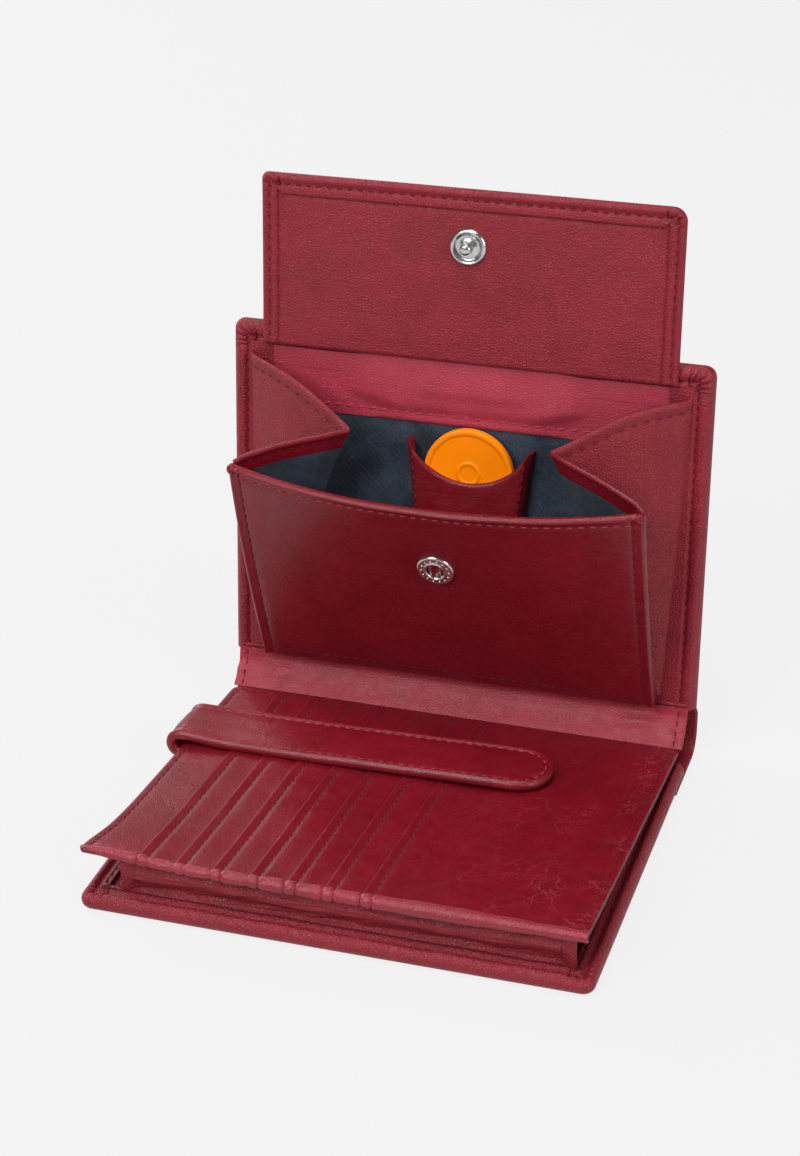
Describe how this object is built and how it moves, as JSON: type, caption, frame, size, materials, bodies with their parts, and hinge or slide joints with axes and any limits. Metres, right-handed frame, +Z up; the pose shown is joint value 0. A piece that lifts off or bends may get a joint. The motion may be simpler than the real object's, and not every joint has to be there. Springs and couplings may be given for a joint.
{
  "type": "coupon organizer wallet",
  "caption": "Padded leather wallet that folds at its spine, with a snap-shut coin box, trolley chip pocket, card pockets under a strap and a note compartment.",
  "frame": {"origin": "centre of the flat underside of the lower half, on the plane that it rests on", "axes": "+X along the spine to the right, +Y from the front edge towards the spine, +Z up"},
  "size_m": [0.1289, 0.121, 0.1436],
  "materials": {
    "deep_leather": "pebbled satin",
    "lit_leather": "pebbled satin",
    "lining_cloth": "matte",
    "board": "matte",
    "foam": "matte",
    "snap_metal": "polished",
    "chip_plastic": "satin"
  },
  "bodies": {
    "lower_half": {"lower_cover": "deep_leather", "lower_board": "board", "lower_padding": "foam", "lower_lining": "lit_leather", "spine_strip_lower": "deep_leather", "panel_fold": "lit_leather", "bill_gusset": "lit_leather"},
    "spine": {"spine_strip": "deep_leather", "spine_lining": "lit_leather", "spine_stay": "board"},
    "upper_half": {"upper_cover": "deep_leather", "upper_board": "board", "upper_padding": "foam", "upper_lining": "lit_leather", "spine_strip_upper": "deep_leather", "coin_back_strip": "lit_leather", "coin_back_lining": "lining_cloth", "chip_pocket": "deep_leather"},
    "chip": {"trolley_chip": "chip_plastic"},
    "flap_strip": {"flap_fold": "lit_leather"},
    "flap": {"flap_leather": "lit_leather", "flap_facing": "lit_leather", "flap_stud": "snap_metal", "flap_stud_cap": "snap_metal"},
    "coin_front": {"coin_front": "deep_leather", "coin_front_lining": "lining_cloth", "coin_socket": "snap_metal", "coin_socket_cap": "snap_metal"},
    "card_panel": {"card_base": "deep_leather", "card_pocket_1": "deep_leather", "card_pocket_2": "deep_leather", "card_pocket_3": "deep_leather", "card_pocket_4": "deep_leather", "card_pocket_5": "deep_leather", "card_pocket_6": "deep_leather", "card_pocket_7": "deep_leather", "card_binding": "lit_leather", "strap_root": "deep_leather", "strap_socket": "snap_metal"},
    "strap": {"strap": "deep_leather", "strap_stud": "snap_metal"},
    "gusset_left_outer_leaf": {"gusset_left_outer": "lit_leather", "gusset_left_outer_lining": "lining_cloth"},
    "gusset_left_inner_leaf": {"gusset_left_inner": "deep_leather", "gusset_left_inner_lining": "lining_cloth"},
    "gusset_right_outer_leaf": {"gusset_right_outer": "lit_leather", "gusset_right_outer_lining": "lining_cloth"},
    "gusset_right_inner_leaf": {"gusset_right_inner": "deep_leather", "gusset_right_inner_lining": "lining_cloth"}
  },
  "joints": [
    {"name": "spine_lower_fold", "type": "hinge", "parent": "lower_half", "child": "spine", "pos_m": [0, 0.05529, 0.0006], "axis": [1, 0, 0], "range_deg": [-42, 19]},
    {"name": "spine_upper_fold", "type": "hinge", "parent": "spine", "child": "upper_half", "pos_m": [0, 0.06115, 0.00586], "axis": [1, 0, 0], "range_deg": [-42, 19]},
    {"name": "flap_first_fold", "type": "hinge", "parent": "upper_half", "child": "flap_strip", "pos_m": [0, 0.06321, 0.08985], "axis": [1, 0, 0], "range_deg": [0, 90]},
    {"name": "flap_second_fold", "type": "hinge", "parent": "flap_strip", "child": "flap", "pos_m": [0, 0.06408, 0.0978], "axis": [1, 0, 0], "range_deg": [0, 90]},
    {"name": "coin_front_fold", "type": "hinge", "parent": "upper_half", "child": "coin_front", "pos_m": [0, 0.05349, 0.01587], "axis": [-1, 0, 0], "range_deg": [0, 22]},
    {"name": "gusset_right_cover_fold", "type": "hinge", "parent": "upper_half", "child": "gusset_right_outer_leaf", "pos_m": [0.0534, 0.05638, 0.01555], "axis": [-0.0699, -0.1086, -0.9916], "range_deg": [0, 24.28]},
    {"name": "gusset_right_front_fold", "type": "hinge", "parent": "coin_front", "child": "gusset_right_inner_leaf", "pos_m": [0.053, 0.055, 0.01641], "axis": [0, -0.3379, 0.9412], "range_deg": [0, 26.14]},
    {"name": "gusset_left_cover_fold", "type": "hinge", "parent": "upper_half", "child": "gusset_left_outer_leaf", "pos_m": [-0.0534, 0.05638, 0.01555], "axis": [-0.0699, 0.1086, 0.9916], "range_deg": [0, 24.28]},
    {"name": "gusset_left_front_fold", "type": "hinge", "parent": "coin_front", "child": "gusset_left_inner_leaf", "pos_m": [-0.053, 0.055, 0.01641], "axis": [0, 0.3379, -0.9412], "range_deg": [0, 26.14]},
    {"name": "chip_slide", "type": "slide", "parent": "upper_half", "child": "chip", "axis": [0, 0.1089, 0.9941], "range_m": [0, 0.006]},
    {"name": "card_panel_fold", "type": "hinge", "parent": "lower_half", "child": "card_panel", "pos_m": [0, 0.05, 0.0059], "axis": [-1, 0, 0], "range_deg": [0, 5], "deforming": ["bill_gusset"]},
    {"name": "strap_fold", "type": "hinge", "parent": "card_panel", "child": "strap", "pos_m": [-0.0625, 0.02494, 0.01471], "axis": [0, -0.9986, -0.0523], "range_deg": [0, 175]}
  ],
  "couplings": [
    {"joint": "spine_upper_fold", "follows": "spine_lower_fold", "ratio": 1},
    {"joint": "flap_first_fold", "follows": "coin_front_fold", "ratio": 4.0909},
    {"joint": "flap_second_fold", "follows": "coin_front_fold", "ratio": 4.0909},
    {"joint": "gusset_right_cover_fold", "follows": "coin_front_fold", "ratio": 1.1034},
    {"joint": "gusset_right_front_fold", "follows": "coin_front_fold", "ratio": 1.1884},
    {"joint": "gusset_left_cover_fold", "follows": "coin_front_fold", "ratio": 1.1034},
    {"joint": "gusset_left_front_fold", "follows": "coin_front_fold", "ratio": 1.1884}
  ]
}
